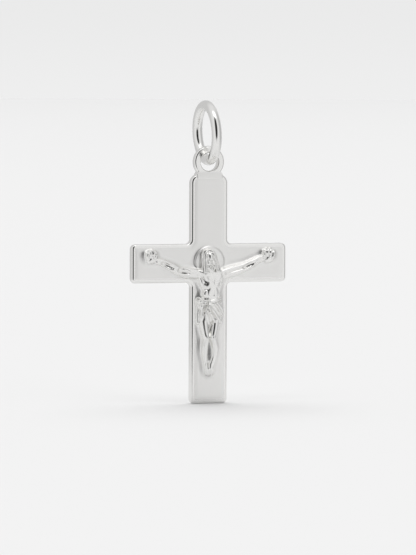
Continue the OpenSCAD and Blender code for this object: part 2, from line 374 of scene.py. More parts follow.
# A smooth curve through rows of numbers: between two rows, the cubic whose slope at each row
# is half the way from the row before to the row after
def through(rows, steps=6):
    if len(rows) < 3:
        return rows
    ends = np.concatenate([2 * rows[:1] - rows[1:2], rows, 2 * rows[-1:] - rows[-2:-1]])
    t = (np.arange(steps) / steps)[:, None, None]
    before, start, end, after = ends[:-3], ends[1:-2], ends[2:-1], ends[3:]
    curve = 0.5 * (2 * start + (end - before) * t
                   + (2 * before - 5 * start + 4 * end - after) * t ** 2
                   + (3 * start - before - 3 * end + after) * t ** 3)
    return np.concatenate([curve.transpose(1, 0, 2).reshape(-1, rows.shape[1]), rows[-1:]])


# Rows whose first two numbers are turned by an angle and moved to a centre
def placed(rows, centre, angle):
    rows = np.array(rows, dtype=float, ndmin=2)
    cos, sin = math.cos(angle), math.sin(angle)
    u, w = rows[:, 0].copy(), rows[:, 1].copy()
    rows[:, 0] = centre[0] + u * cos - w * sin
    rows[:, 1] = centre[1] + u * sin + w * cos
    return rows


# A form and its mirror image in the line where u is nought
def both(rows):
    return [rows, [(-u, *rest) for u, *rest in rows]]


class Relief:
    """Heights above the face over lines of u and w, in millimetres."""

    def __init__(self, u, w):
        self.u, self.w = u, w
        self.height = np.full((len(w), len(u)), NOWHERE)

    def window(self, low, high):
        """The rows and columns inside a box, and their grid points."""
        columns = slice(*np.searchsorted(self.u, [low[0], high[0]]))
        rows = slice(*np.searchsorted(self.w, [low[1], high[1]]))
        u, w = np.meshgrid(self.u[columns], self.w[rows])
        return (rows, columns), u, w

    def along(self, path, reach):
        """For each stretch of a path, over the points near the path: the stretch's own numbers
        at the nearest place on it, shared between its ends, and the distance to it."""
        low, high = path[:, :2].min(axis=0) - reach, path[:, :2].max(axis=0) + reach
        place, u, w = self.window(low, high)
        for start, end in zip(path, path[1:]):
            way = end[:2] - start[:2]
            length = max(float(way @ way), TINY)
            share = ((u - start[0]) * way[0] + (w - start[1]) * way[1]) / length
            share = np.clip(share, 0.0, 1.0)
            distance = np.hypot(u - start[0] - share * way[0], w - start[1] - share * way[1])
            yield place, start[2:, None, None] * (1 - share) + end[2:, None, None] * share, distance

    def limb(self, rows, soft, flat=1.0):
        """A round form along a curve. Each row: u, w, half width, height of its crest. It is a
        round section of the distance in half widths, raised to the power flat, which above
        one gives it a flatter crest."""
        path = through(rows)
        reach = path[:, 2].max() + (path[:, 3].max() + DEEPEST) / SLOPE
        best = NOWHERE
        for place, (half, crest), distance in self.along(path, reach):
            share = (distance / half) ** flat
            best = np.maximum(best, crest - half + half * section(share, SLOPE / flat))
        self.height[place] = merge(self.height[place], best, soft)

    def dome(self, rows, soft):
        """An oval dome. Its row: u, w, half width, half height, turn in degrees, crest, rise,
        flat. It is a round section of the distance in half sizes, raised to the power flat,
        which above one gives it a flatter top, and it rises by its rise to its crest."""
        centre = rows[0, :2]
        wide, tall, turn, crest, rise, flat = rows[0, 2:]
        reach = max(wide, tall) + (crest + DEEPEST) / SLOPE
        place, u, w = self.window(centre - reach, centre + reach)
        cos, sin = math.cos(math.radians(turn)), math.sin(math.radians(turn))
        across = (u - centre[0]) * cos + (w - centre[1]) * sin
        up = (w - centre[1]) * cos - (u - centre[0]) * sin
        share = np.hypot(across / wide, up / tall) ** flat
        height = crest - rise + rise * section(share, SLOPE * min(wide, tall) / rise / flat)
        self.height[place] = merge(self.height[place], height, soft)

    def groove(self, rows, power):
        """A soft groove along a curve. Each row: u, w, half width, depth. The cut is the depth
        times e to minus the distance in half widths raised to the power: a bell curve for two,
        and above it a flatter floor with steeper sides."""
        path = through(rows)
        cut = 0.0
        for place, (half, depth), distance in self.along(path, GROOVE_REACH * path[:, 2].max()):
            cut = np.maximum(cut, depth * np.exp(-(distance / half) ** power))
        self.height[place] -= cut

    def lay(self, steps, centre=(0.0, 0.0), tilt=0.0):
        """Forms laid in order, turned by the tilt and moved to the centre. A step has one of
        the three shapes above, its table, and the numbers that end the shape's call."""
        for shape, table, *numbers in steps:
            for rows in table:
                shape(self, placed(rows, centre, tilt), *numbers)

    def join(self, other, soft):
        """The higher of this relief and another on the same lines."""
        self.height = merge(self.height, other.height, soft)

    def smooth(self, times):
        """Each height becomes the mean of its neighbours, one to two to one, both ways."""
        for _ in range(times):
            padded = np.pad(self.height, 1, mode="edge")
            rows = (padded[:-2] + 2 * padded[1:-1] + padded[2:]) / 4
            self.height = (rows[:, :-2] + 2 * rows[:, 1:-1] + rows[:, 2:]) / 4


# The tables hold the rows that the three shapes of a relief take. First the trunk: rib cage,
# waist, hips, the two sides of the chest and the belly, then the shoulders and the flanks, and
# the shallow grooves and dimples between them
TRUNK_DOMES = [
    (0.03, -1.46, 0.82, 0.95, 0, 0.66, 0.5, 2.2),
    (0.09, -2.3, 0.56, 0.9, 0, 0.61, 0.44, 2),
    (0.03, -3.1, 0.86, 0.75, 0, 0.52, 0.4, 1),
    (-0.24, -1.06, 0.46, 0.36, -16, 0.69, 0.06, 1),
    (0.46, -1.16, 0.46, 0.36, 16, 0.69, 0.07, 1),
    (0.1, -2.42, 0.44, 0.6, 0, 0.65, 0.09, 1),
    (-0.36, -2.44, 0.34, 0.34, 0, 0.62, 0.08, 1),
]
TRUNK_LIMBS = [
    [(-0.98, -0.8, 0.33, 0.6), (-0.4, -0.8, 0.26, 0.7), (0.45, -0.8, 0.26, 0.7),
     (1, -0.8, 0.33, 0.6)],
    [(-0.84, -1.05, 0.24, 0.52), (-0.72, -1.55, 0.22, 0.54), (-0.5, -2.1, 0.2, 0.5),
     (-0.42, -2.6, 0.2, 0.48)],
    [(0.88, -1.05, 0.24, 0.5), (0.78, -1.55, 0.22, 0.52), (0.64, -2.1, 0.2, 0.49),
     (0.6, -2.6, 0.2, 0.48)],
]
TRUNK_GROOVES = [
    [(0.06, -1, 0.1, 0), (0.09, -1.36, 0.1, 0.03), (0.1, -1.7, 0.1, 0.02)],
    [(0.1, -1.84, 0.09, 0), (0.12, -2.16, 0.09, 0.02), (0.12, -2.4, 0.08, 0.02)],
    [(-1.14, -0.62, 0.12, 0.04), (-0.84, -0.94, 0.17, 0.09), (-0.6, -1.28, 0.18, 0.11),
     (-0.44, -1.58, 0.13, 0.06)],
    [(-0.58, -1.98, 0.11, 0.03), (-0.56, -2.06, 0.11, 0.03)],
    [(0.9, -0.98, 0.09, 0.03), (0.76, -1.36, 0.1, 0.06), (0.6, -1.74, 0.09, 0.02)],
    [(0.12, -2.52, 0.06, 0.03), (0.12, -2.57, 0.06, 0.03)],
]

# Arms, each of an upper and a lower limb with hollows between them, palms, nails and fingers
ARM_LIMBS = [
    [(-0.95, -0.72, 0.26, 0.6), (-1.4, -0.65, 0.23, 0.57), (-1.9, -0.57, 0.22, 0.56),
     (-2.6, -0.43, 0.18, 0.47), (-3.2, -0.17, 0.19, 0.48), (-3.9, 0.17, 0.15, 0.4),
     (-4.55, 0.36, 0.13, 0.35)],
    [(-0.95, -0.98, 0.24, 0.52), (-1.4, -0.95, 0.23, 0.51), (-1.9, -0.91, 0.23, 0.5),
     (-2.6, -0.79, 0.2, 0.44), (-3.2, -0.46, 0.22, 0.45), (-3.95, -0.06, 0.17, 0.38),
     (-4.55, 0.14, 0.13, 0.33)],
    [(0.98, -0.7, 0.26, 0.58), (1.5, -0.53, 0.23, 0.55), (2.2, -0.34, 0.2, 0.49),
     (2.85, -0.15, 0.17, 0.44), (3.6, 0.14, 0.17, 0.46), (4.05, 0.36, 0.14, 0.39),
     (4.5, 0.52, 0.12, 0.34)],
    [(0.98, -0.98, 0.24, 0.5), (1.5, -0.91, 0.23, 0.49), (2.2, -0.75, 0.22, 0.46),
     (2.8, -0.54, 0.19, 0.42), (3.55, -0.15, 0.2, 0.44), (4, 0.09, 0.16, 0.38),
     (4.5, 0.28, 0.13, 0.32)],
]
ARM_GROOVES = [
    [(-1.86, -0.71, 0.14, 0), (-2.54, -0.53, 0.17, 0.22), (-2.79, -0.45, 0.12, 0)],
    [(-3.2, -0.38, 0.14, 0), (-3.92, -0.03, 0.16, 0.22), (-4.15, 0.07, 0.12, 0)],
    [(3.78, 0.06, 0.14, 0), (3, -0.28, 0.15, 0.18), (2.76, -0.37, 0.11, 0)],
]
HAND_DOMES = [
    (-4.95, 0.38, 0.48, 0.36, 28, 0.42, 0.26, 1),
    (5.02, 0.36, 0.52, 0.36, 20, 0.42, 0.26, 1),
    (-4.97, 0.46, 0.07, 0.07, 0, 0.52, 0.07, 1),
    (5.06, 0.44, 0.07, 0.07, 0, 0.52, 0.07, 1),
]
FINGER_LIMBS = [
    [(-4.7, 0.52, 0.11, 0.42), (-4.66, 0.76, 0.12, 0.46), (-4.74, 0.97, 0.11, 0.4)],
    [(-4.9, 0.6, 0.12, 0.44), (-4.89, 0.84, 0.13, 0.49), (-4.94, 1.04, 0.11, 0.41)],
    [(-5.12, 0.58, 0.12, 0.44), (-5.13, 0.82, 0.13, 0.48), (-5.16, 1, 0.11, 0.4)],
    [(-5.33, 0.42, 0.12, 0.4), (-5.38, 0.66, 0.13, 0.43), (-5.4, 0.84, 0.11, 0.37)],
    [(4.62, 0.44, 0.11, 0.42), (4.6, 0.7, 0.12, 0.46), (4.7, 0.94, 0.11, 0.4)],
    [(4.84, 0.6, 0.12, 0.44), (4.85, 0.86, 0.13, 0.5), (4.91, 1.06, 0.11, 0.41)],
    [(5.08, 0.62, 0.12, 0.44), (5.11, 0.86, 0.13, 0.49), (5.15, 1.04, 0.11, 0.4)],
    [(5.32, 0.46, 0.12, 0.41), (5.38, 0.7, 0.13, 0.44), (5.42, 0.88, 0.11, 0.37)],
]

# Thighs, shins with the even bed of the gap between them, knees, feet and toes
THIGH_LIMBS = [
    [(-0.58, -4.3, 0.4, 0.62), (-0.57, -4.9, 0.36, 0.66), (-0.5, -5.5, 0.31, 0.7),
     (-0.43, -5.95, 0.25, 0.74), (-0.45, -6.15, 0.24, 0.68)],
    [(0.44, -4.3, 0.36, 0.6), (0.36, -4.9, 0.34, 0.66), (0.24, -5.5, 0.31, 0.72),
     (0.12, -5.95, 0.27, 0.78), (0.18, -6.15, 0.26, 0.72)],
]
SHIN_LIMBS = [
    [(-0.44, -6.05, 0.23, 0.66), (-0.5, -6.45, 0.22, 0.61), (-0.53, -6.85, 0.21, 0.56),
     (-0.5, -7.4, 0.18, 0.48), (-0.43, -7.9, 0.15, 0.42), (-0.4, -8.2, 0.13, 0.42)],
    [(0.16, -6.05, 0.26, 0.7), (0.28, -6.45, 0.25, 0.65), (0.34, -6.85, 0.26, 0.58),
     (0.3, -7.4, 0.24, 0.5), (0.16, -7.9, 0.23, 0.47), (0.07, -8.2, 0.22, 0.47)],
]
SHIN_BED = [[(0.06, -6.3, 0.4, 0.32), (0.12, -6.85, 0.58, 0.33), (0.1, -7.35, 0.52, 0.335),
             (0.04, -7.75, 0.36, 0.33)]]
LEG_DOMES = [
    (-0.43, -5.94, 0.14, 0.2, 0, 0.79, 0.12, 1),
    (0.12, -5.94, 0.14, 0.2, 0, 0.83, 0.12, 1),
]
FOOT_LIMBS = [
    [(-0.4, -8.1, 0.14, 0.42), (-0.36, -8.4, 0.15, 0.4), (-0.29, -8.72, 0.16, 0.34),
     (-0.25, -8.9, 0.11, 0.26)],
    [(0.05, -8.1, 0.23, 0.47), (0.04, -8.4, 0.24, 0.5), (0.03, -8.7, 0.23, 0.44),
     (0.02, -8.88, 0.16, 0.34)],
    [(-0.1, -8.76, 0.045, 0.36), (-0.12, -8.95, 0.04, 0.26)],
    [(0, -8.78, 0.05, 0.38), (-0.02, -8.98, 0.045, 0.28)],
    [(0.1, -8.78, 0.05, 0.38), (0.09, -8.97, 0.045, 0.28)],
    [(0.2, -8.74, 0.05, 0.36), (0.21, -8.92, 0.045, 0.26)],
    [(-0.33, -8.74, 0.045, 0.28), (-0.35, -8.93, 0.04, 0.2)],
    [(-0.24, -8.78, 0.045, 0.28), (-0.25, -8.98, 0.04, 0.2)],
]
LEG_GROOVES = [
    [(0.02, -4.9, 0.05, 0.02), (-0.08, -5.4, 0.05, 0.04), (-0.14, -5.75, 0.04, 0.02)],
    [(0.06, -8.34, 0.03, 0.03), (0.06, -8.38, 0.03, 0.03)],
]

# The cloth round the hips: its base, the band, the knot at the side, hanging ends and folds
CLOTH_DOMES = [
    (-0.02, -3.72, 0.96, 0.92, 0, 0.66, 0.5, 1),
    (0.02, -4.3, 0.92, 0.5, 0, 0.62, 0.44, 1),
    (-0.94, -3.02, 0.17, 0.2, 20, 0.66, 0.2, 1),
    (-0.86, -3.4, 0.18, 0.18, 0, 0.7, 0.2, 1),
    (-0.98, -4.15, 0.18, 0.8, 0, 0.34, 0.2, 1),
]
CLOTH_LIMBS = [
    [(0.8, -2.82, 0.12, 0.5), (0.45, -2.92, 0.13, 0.7), (0.05, -3.02, 0.13, 0.78),
     (-0.35, -3.03, 0.12, 0.74), (-0.75, -2.98, 0.12, 0.62)],
    [(0.86, -3.1, 0.1, 0.46), (0.5, -3.22, 0.1, 0.68), (0.05, -3.28, 0.1, 0.77),
     (-0.4, -3.24, 0.1, 0.74), (-0.8, -3.16, 0.1, 0.62)],
    [(-0.98, -3.05, 0.09, 0.42), (-1.11, -3.5, 0.08, 0.33), (-1.1, -3.95, 0.08, 0.32),
     (-1.12, -4.3, 0.09, 0.32), (-1.05, -4.74, 0.14, 0.36)],
    [(-0.86, -3.45, 0.12, 0.66), (-0.78, -3.9, 0.12, 0.66), (-0.82, -4.35, 0.13, 0.62),
     (-0.78, -4.76, 0.14, 0.52)],
    [(-0.3, -3.32, 0.1, 0.8), (0.08, -3.8, 0.11, 0.88), (0.52, -4.4, 0.11, 0.76),
     (0.8, -4.66, 0.12, 0.56)],
    [(0.1, -3.1, 0.09, 0.76), (0.5, -3.58, 0.1, 0.78), (0.88, -4.12, 0.1, 0.58)],
    [(-0.44, -3.56, 0.09, 0.78), (-0.12, -4.05, 0.1, 0.84), (0.2, -4.62, 0.1, 0.74)],
    [(-0.54, -3.78, 0.09, 0.74), (-0.38, -4.26, 0.1, 0.76), (-0.22, -4.78, 0.1, 0.62)],
    [(-0.6, -4.05, 0.08, 0.68), (-0.54, -4.45, 0.09, 0.68), (-0.5, -4.82, 0.09, 0.56)],
    [(0.4, -3.1, 0.08, 0.66), (0.74, -3.46, 0.09, 0.62), (1, -3.88, 0.09, 0.42)],
]
CLOTH_GROOVES = [
    [(-0.42, -2.84, 0.06, 0.14), (-0.38, -3.1, 0.07, 0.24), (-0.42, -3.4, 0.06, 0.18)],
    [(-0.68, -3.5, 0.05, 0.12), (-0.56, -3.56, 0.06, 0.18), (-0.44, -3.58, 0.05, 0.14)],
    [(-0.4, -3.62, 0.05, 0.16), (-0.24, -3.86, 0.05, 0.14)],
    [(-0.6, -3.52, 0.05, 0.1), (-0.66, -3.9, 0.05, 0.14), (-0.66, -4.4, 0.05, 0.12)],
    [(-0.96, -3.6, 0.04, 0.02), (-0.95, -4.1, 0.04, 0.03), (-0.94, -4.7, 0.04, 0.02)],
    [(-0.3, -3.62, 0.04, 0.06), (0.06, -4.1, 0.04, 0.09), (0.36, -4.6, 0.04, 0.06)],
    [(0.16, -3.62, 0.04, 0.05), (0.5, -4.06, 0.04, 0.08), (0.8, -4.44, 0.04, 0.05)],
]

# The head, in its own lines: up along its lean in degrees, from its middle. Skull, face, chin
# and cheeks, three locks of hair at each side, beard and moustache, then brows, nose and lip,
# eyes, the hollows over them, and the lines of the lids and the mouth
HEAD_CENTRE = (-0.15, 0.22)
HEAD_LEAN = 6.5
HEAD_DOMES = [
    (0, 0.28, 0.45, 0.6, HEAD_LEAN, 0.92, 0.74, 1),
    (0, -0.08, 0.35, 0.56, HEAD_LEAN, 0.86, 0.52, 1),
    (0, -0.66, 0.27, 0.38, HEAD_LEAN, 0.8, 0.44, 1),
    *both([(-0.18, -0.17, 0.14, 0.17, HEAD_LEAN, 0.865, 0.06, 1)]),
]
HAIR_LIMBS = [
    [(-0.03, 0.84, 0.09, 0.58), (-0.26, 0.72, 0.1, 0.7), (-0.42, 0.42, 0.1, 0.74),
     (-0.46, 0.02, 0.09, 0.74), (-0.5, -0.4, 0.1, 0.75), (-0.52, -0.86, 0.1, 0.78)],
    [(-0.06, 0.66, 0.08, 0.7), (-0.22, 0.58, 0.09, 0.8), (-0.33, 0.34, 0.08, 0.84),
     (-0.36, -0.02, 0.07, 0.8), (-0.4, -0.42, 0.08, 0.8), (-0.38, -0.88, 0.08, 0.8)],
    [(-0.2, 0.8, 0.1, 0.44), (-0.44, 0.6, 0.11, 0.48), (-0.55, 0.26, 0.11, 0.5),
     (-0.58, -0.16, 0.11, 0.52), (-0.64, -0.56, 0.11, 0.6), (-0.66, -0.94, 0.09, 0.66)],
    [(0.03, 0.84, 0.09, 0.58), (0.26, 0.72, 0.1, 0.7), (0.42, 0.42, 0.1, 0.74),
     (0.46, 0.02, 0.09, 0.74), (0.5, -0.4, 0.1, 0.75), (0.56, -0.86, 0.1, 0.78)],
    [(0.06, 0.66, 0.08, 0.7), (0.22, 0.58, 0.09, 0.8), (0.33, 0.34, 0.08, 0.84),
     (0.36, -0.02, 0.07, 0.8), (0.4, -0.42, 0.08, 0.8), (0.42, -0.88, 0.08, 0.8)],
    [(0.2, 0.8, 0.1, 0.44), (0.44, 0.6, 0.11, 0.48), (0.57, 0.26, 0.11, 0.5),
     (0.62, -0.16, 0.11, 0.52), (0.7, -0.56, 0.11, 0.6), (0.76, -0.94, 0.09, 0.66)],
]
BEARD_LIMBS = [
    *both([(-0.3, -0.26, 0.06, 0.76), (-0.24, -0.58, 0.07, 0.76), (-0.12, -0.94, 0.06, 0.72)]),
    *both([(-0.14, -0.6, 0.06, 0.82), (-0.1, -0.8, 0.06, 0.8), (-0.04, -1.02, 0.05, 0.72)]),
    [(0, -0.58, 0.06, 0.85), (0, -0.78, 0.06, 0.83), (0, -1, 0.05, 0.76)],
    *both([(0, -0.37, 0.035, 0.93), (-0.11, -0.42, 0.045, 0.9), (-0.21, -0.54, 0.04, 0.82)]),
]
FACE_LIMBS = [
    *both([(-0.25, 0.1, 0.035, 0.84), (-0.14, 0.145, 0.04, 0.9), (-0.04, 0.12, 0.035, 0.9)]),
    [(0, 0.12, 0.035, 0.9), (0, -0.08, 0.04, 0.95), (0, -0.25, 0.055, 1)],
    *both([(-0.055, -0.27, 0.03, 0.93), (-0.05, -0.29, 0.03, 0.93)]),
    [(-0.06, -0.475, 0.025, 0.9), (0, -0.485, 0.028, 0.91), (0.06, -0.475, 0.025, 0.9)],
]
FACE_DOMES = both([(-0.145, 0.02, 0.075, 0.045, HEAD_LEAN, 0.875, 0.05, 1)])
FACE_GROOVES = both([
    (-0.22, 0.035, 0.05, 0.03), (-0.14, 0.055, 0.06, 0.05), (-0.07, 0.02, 0.04, 0.04)])
LID_GROOVES = [
    *both([(-0.21, 0, 0.012, 0.012), (-0.145, -0.016, 0.014, 0.022), (-0.08, 0, 0.012, 0.012)]),
    [(-0.08, -0.445, 0.012, 0.015), (0, -0.44, 0.014, 0.02), (0.08, -0.445, 0.012, 0.015)],
]

# The order in which the forms are laid. A dome or limb is followed by how softly it meets what
# lies there, in millimetres, a limb also by its power flat, and a groove by its power
FIGURE_STEPS = [
    (Relief.dome, TRUNK_DOMES, 0.1), (Relief.limb, TRUNK_LIMBS, 0.1),
    (Relief.limb, ARM_LIMBS, 0.07), (Relief.groove, TRUNK_GROOVES, 2.0),
    (Relief.groove, ARM_GROOVES, 4.0), (Relief.dome, HAND_DOMES, 0.05),
    (Relief.limb, FINGER_LIMBS, 0.1), (Relief.limb, THIGH_LIMBS, 0.05),
    (Relief.limb, SHIN_LIMBS, 0.03, 2.0), (Relief.limb, SHIN_BED, 0.02),
    (Relief.dome, LEG_DOMES, 0.04), (Relief.limb, FOOT_LIMBS, 0.03, 1.6),
    (Relief.groove, LEG_GROOVES, 2.0),
]
CLOTH_STEPS = [
    (Relief.dome, CLOTH_DOMES, 0.06), (Relief.limb, CLOTH_LIMBS, 0.07),
    (Relief.groove, CLOTH_GROOVES, 2.0),
]
HEAD_STEPS = [
    (Relief.dome, HEAD_DOMES, 0.05), (Relief.groove, FACE_GROOVES, 2.0),
    (Relief.limb, FACE_LIMBS, 0.04), (Relief.dome, FACE_DOMES, 0.02),
    (Relief.groove, LID_GROOVES, 2.0), (Relief.limb, BEARD_LIMBS, 0.03),
    (Relief.limb, HAIR_LIMBS, 0.025),
]


# Distance from the outline of the cross, in millimetres
def inset_at(sizes, u, w):
    half = sizes.beam / 2 / MM
    inner = sizes.inner / MM
    side = np.hypot(np.maximum(half + inner - np.abs(u), 0.0),
                    np.maximum(half + inner - np.abs(w), 0.0)) - inner
    arm = sizes.width / 2 / MM - np.abs(u)
    top = sizes.bar_drop / MM - w
    foot = w + (sizes.height - sizes.bar_drop) / MM
    return np.minimum(np.minimum(side, arm), np.minimum(top, foot))


# Depth of the face below its crowned middle: nothing further in than the crown's reach, then
# falling as a quarter of a sine, and over the rounded edge as an oval
def face_height(sizes, u, w):
    inset = inset_at(sizes, u, w)
    share = np.clip((inset * MM - sizes.edge_reach) / sizes.crown_reach, 0.0, 1.0)
    edge = np.clip(1 - inset * MM / sizes.edge_reach, 0.0, 1.0)
    return (-sizes.crown / MM * (1 - np.sin(share * math.pi / 2))
            - sizes.edge / MM * (1 - np.sqrt(1 - edge ** 2)))


# The share of polish at each point of a piece, which its silver reads
def add_polish(piece, values):
    polish = piece.data.attributes.new("polish", "FLOAT", "POINT")
    polish.data.foreach_set("value", np.ascontiguousarray(values, dtype=np.float32))


# Most polish on the figure, and the heights above the face between which it comes in
FIGURE_POLISH = 0.65
POLISH_RISE = (0.08, 0.30)


# A closed solid from a relief: its heights over the kept part of the grid, a wall down from
# the edge of that part, and a flat root inside the cross, closed to a point at tip
def relief_solid(name, sizes, relief, keep, tip):
    rows, columns = keep.shape
    index = np.cumsum(keep.ravel()) - 1
    u, w = np.meshgrid(relief.u, relief.w)
    over = np.stack([u[keep], -relief.height[keep], w[keep]], axis=1)
    cells = keep[:-1, :-1] & keep[:-1, 1:] & keep[1:, 1:] & keep[1:, :-1]
    quads = index[grid_quads(rows, columns, loop_columns=False)[cells]]
    count = len(over)
    start, end = quads.ravel(), np.roll(quads, -1, axis=1).ravel()
    single = ~np.isin(start * count + end, end * count + start)
    start, end = start[single], end[single]
    edge = np.unique(start)
    below = over[edge].copy()
    below[:, 1] = -ROOT
    low_start = count + np.searchsorted(edge, start)
    low_end = count + np.searchsorted(edge, end)
    points = np.concatenate([over, below, [[tip[0], -ROOT, tip[1]]]])
    walls = np.stack([end, start, low_start, low_end], axis=1)
    fans = np.stack([low_end, low_start, np.full(len(start), len(points) - 1)], axis=1)
    points[:, 1] -= sizes.thickness / 2 / MM
    piece = add_solid(name, points * MM + crossing(sizes), np.concatenate([quads, walls]), fans)
    face = face_height(sizes, points[:, 0], points[:, 2])
    rise = -points[:, 1] - sizes.thickness / 2 / MM - face
    add_polish(piece, FIGURE_POLISH * ease(*POLISH_RISE, rise))
    return piece


# Grid lines with one pitch in the middle and another outside it
def lines(low, high, pitch, middle=None, outer_pitch=None):
    if middle is None:
        return np.linspace(low, high, round((high - low) / pitch) + 1)
    inside = np.linspace(-middle, middle, round(2 * middle / pitch) + 1)
    left = np.linspace(low, -middle, round((-middle - low) / outer_pitch) + 1)[:-1]
    right = np.linspace(middle, high, round((high - middle) / outer_pitch) + 1)[1:]
    return np.concatenate([left, inside, right])


# The grid of the figure: half the width of its fine middle, its reach along the arms and the
# half height that is kept there, its foot and its top
COLUMN = 1.34
ARM_REACH = 6.29
BAND = 1.42
FIGURE_FOOT = -9.7
FIGURE_TOP = 1.95

# The nimbus: its rim's rise, distance from the edge and half width. Its edge starts EDGE_IN
# inside its radius and dives to DIVE below the face, EDGE_OUT outside it
NIMBUS_CENTRE = (-0.04, 0.10)
RIM_RISE = 0.02
RIM_INSET = 0.17
RIM_WIDTH = 0.07
NIMBUS_EDGE_IN = 0.16
NIMBUS_EDGE_OUT = 0.1
NIMBUS_DIVE = 0.14

# The field's swell towards the figure: the height at which the forms are cut off, the share
# that is left, the rounds of blurring, and the distances from the cross's outline over which
# it comes in
SKIRT_TOP = 0.36
SKIRT_SHARE = 0.75
SKIRT_ROUNDS = 110
SKIRT_FADE = (0.24, 0.62)

# How softly the cloth, the nimbus and the field meet the body
CLOTH_SOFT = 0.02
NIMBUS_SOFT = 0.04
FIELD_SOFT = 0.12


# Trunk, arms and legs under the cloth, and the nimbus, over the face of the cross. The rim of
# the nimbus is a bell curve. The face swells softly towards the forms: by a share of their own
# height, cut off at a low top and blurred
def figure_relief(sizes, figure):
    u = lines(-ARM_REACH, ARM_REACH, figure.pitch / MM, COLUMN, figure.arm_pitch / MM)
    w = lines(FIGURE_FOOT, FIGURE_TOP, figure.pitch / MM)
    body, cloth, nimbus, skirt = (Relief(u, w) for _ in range(4))
    body.lay(FIGURE_STEPS)
    cloth.lay(CLOTH_STEPS)
    body.join(cloth, CLOTH_SOFT)
    half = figure.nimbus / 2 / MM
    edge = half + NIMBUS_EDGE_OUT
    grid_u, grid_w = np.meshgrid(u, w)
    reach = np.hypot(grid_u - NIMBUS_CENTRE[0], grid_w - NIMBUS_CENTRE[1])
    rim = RIM_RISE * np.exp(-((reach - half + RIM_INSET) / RIM_WIDTH) ** 2)
    disc = ((figure.nimbus_height / MM + rim + NIMBUS_DIVE)
            * ease(edge, half - NIMBUS_EDGE_IN, reach) - NIMBUS_DIVE)
    nimbus.height = np.where(reach < edge, disc, NOWHERE)
    body.join(nimbus, NIMBUS_SOFT)
    face = face_height(sizes, grid_u, grid_w) - FACE_GAP
    skirt.height = np.clip(body.height - face, 0.0, SKIRT_TOP)
    skirt.smooth(SKIRT_ROUNDS)
    swell = SKIRT_SHARE * skirt.height * ease(*SKIRT_FADE, inset_at(sizes, grid_u, grid_w))
    body.height = merge(body.height, face + swell, FIELD_SOFT)
    body.smooth(1)
    body.height = np.maximum(body.height, face)
    return body, (np.abs(grid_u) <= COLUMN + TINY) | (np.abs(grid_w) < BAND)


# The head's grid: its lowest and highest u and w, and the height of its ground, just above the
# root
HEAD_WINDOW = (-1.05, 1.05, -1.12, 1.42)
HEAD_GROUND = ROOT + 0.01


# The head with its hair and beard, on finer lines
def head_relief(figure):
    pitch = figure.head_pitch / MM
    low_u, high_u, low_w, high_w = HEAD_WINDOW
    head = Relief(lines(low_u, high_u, pitch), lines(low_w, high_w, pitch))
    head.lay(HEAD_STEPS, HEAD_CENTRE, math.radians(HEAD_LEAN))
    head.smooth(1)
    grid_u, grid_w = np.meshgrid(head.u, head.w)
    away = np.minimum(np.minimum(grid_u - low_u, high_u - grid_u),
                      np.minimum(grid_w - low_w, high_w - grid_w))
    head.height = np.where(away < pitch / 2, HEAD_GROUND, np.maximum(head.height, HEAD_GROUND))
    return head, np.ones(grid_u.shape, dtype=bool)


# Points round the eye, along each of its quarter circles and across each of its flat faces, and
# the rounds in which the neck's reach and flare are worked out together
EYE_STEPS = 192
EYE_TURN_STEPS = 9
EYE_FLAT_STEPS = 5
NECK_ROUNDS = 3
# How far the eye's neck goes into the cross, the radii at the mouth of the hole and at the rim,
# and where the polish starts and is full, as depths below the flat face
EYE_ROOT = 0.42 * MM
EYE_BEVEL = 0.12 * MM
EYE_EDGE = 0.16 * MM
EYE_POLISH = (-0.02 * MM, 0.01 * MM)
# The neck's flare on each side, and the shares of the eye's rise between which it flares and
# between which it swells. A direction needs LEAST_SHARE of the way down to reach the neck
NECK_FLARE = 0.22 * MM
FLARE_SPAN = (0.62, 1.05)
SWELL_SPAN = (0.7, 1.15)
LEAST_SHARE = 0.05


